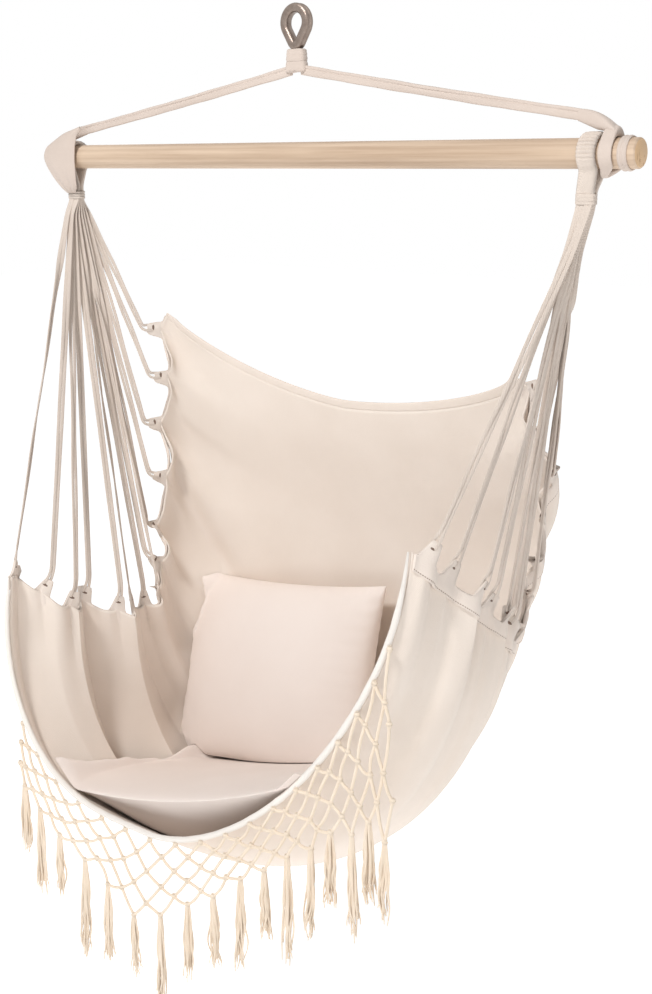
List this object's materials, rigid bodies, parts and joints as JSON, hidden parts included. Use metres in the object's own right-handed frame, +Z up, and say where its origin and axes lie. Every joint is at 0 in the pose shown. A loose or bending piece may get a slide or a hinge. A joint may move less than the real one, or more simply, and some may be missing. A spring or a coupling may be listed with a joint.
{
  "type": "hammock_chair",
  "caption": "Hanging hammock chair: a canvas bowl seat with a fringed net, seat and back cushions, slung by cords from a wooden spreader bar on webbing straps and a steel eye.",
  "frame": {"origin": "the bearing point inside the top of the hanging eye, where a hook or rope carries the chair", "axes": "+X along the spreader bar, to the right for someone who looks at the chair's front, +Y towards the chair's back, +Z up; the chair faces -Y"},
  "size_m": [0.9825, 0.451, 1.3079],
  "materials": {
    "steel": "brushed grey-brown steel thimble eye",
    "pine": "pale sanded pine, fine long grain",
    "canvas": "unbleached cotton canvas and webbing, plain weave",
    "cotton_cord": "twisted unbleached cotton cord",
    "fringe": "knotted cotton cord, warm cream"
  },
  "bodies": {
    "eye": {"hanging_eye": "steel"},
    "binding": {"eye_binding": "canvas"},
    "gather": {"strap_gather": "canvas"},
    "suspension": {"left_strap": "canvas", "right_strap": "canvas", "left_bar_sling": "canvas", "right_bar_sling": "canvas"},
    "bar": {"spreader_bar": "pine", "left_stop_wrap": "canvas", "right_stop_wrap": "canvas"},
    "seat": {"left_cord_eye": "cotton_cord", "right_cord_eye": "cotton_cord", "seat_canvas": "canvas", "front_hem": "canvas", "back_hem": "canvas", "left_cord_01": "cotton_cord", "left_cord_02": "cotton_cord", "left_cord_03": "cotton_cord", "left_cord_04": "cotton_cord", "left_cord_05": "cotton_cord", "left_cord_06": "cotton_cord", "left_cord_07": "cotton_cord", "left_cord_08": "cotton_cord", "left_cord_09": "cotton_cord", "left_cord_10": "cotton_cord", "left_cord_11": "cotton_cord", "left_cord_12": "cotton_cord", "left_cord_13": "cotton_cord", "left_cord_14": "cotton_cord", "left_edge_tape": "canvas", "left_cord_bundle": "cotton_cord", "left_whipping": "cotton_cord", "right_cord_01": "cotton_cord", "right_cord_02": "cotton_cord", "right_cord_03": "cotton_cord", "right_cord_04": "cotton_cord", "right_cord_05": "cotton_cord", "right_cord_06": "cotton_cord", "right_cord_07": "cotton_cord", "right_cord_08": "cotton_cord", "right_cord_09": "cotton_cord", "right_cord_10": "cotton_cord", "right_cord_11": "cotton_cord", "right_cord_12": "cotton_cord", "right_cord_13": "cotton_cord", "right_cord_14": "cotton_cord", "right_edge_tape": "canvas", "right_cord_bundle": "cotton_cord", "right_whipping": "cotton_cord", "fringed_net": "fringe"},
    "seat_cushion": {"seat_cushion": "canvas"},
    "back_cushion": {"back_cushion": "canvas"}
  },
  "joints": [
    {"name": "turn", "type": "hinge", "parent": "eye", "child": "binding", "pos_m": [0, 0, -0.0696], "axis": [0, 0, 1], "range_deg": [-180, 180]},
    {"name": "swing", "type": "hinge", "parent": "binding", "child": "gather", "pos_m": [0, 0, -0.0696], "axis": [1, 0, 0], "range_deg": [-25, 25]},
    {"name": "sway", "type": "hinge", "parent": "gather", "child": "suspension", "pos_m": [0, 0, -0.0696], "axis": [0, 1, 0], "range_deg": [-12, 12]},
    {"name": "bar_roll", "type": "hinge", "parent": "suspension", "child": "bar", "pos_m": [0, 0, -0.178], "axis": [1, 0, 0], "continuous": true},
    {"name": "seat_tilt", "type": "hinge", "parent": "suspension", "child": "seat", "pos_m": [0, 0, -0.178], "axis": [1, 0, 0], "range_deg": [-20, 20]},
    {"name": "seat_cushion_lift", "type": "slide", "parent": "seat", "child": "seat_cushion", "axis": [0.05, -0.2001, 0.9785], "range_m": [0, 0.25]},
    {"name": "back_cushion_lift", "type": "slide", "parent": "seat_cushion", "child": "back_cushion", "axis": [0.1, -0.34, 0.9351], "range_m": [0, 0.35]}
  ]
}
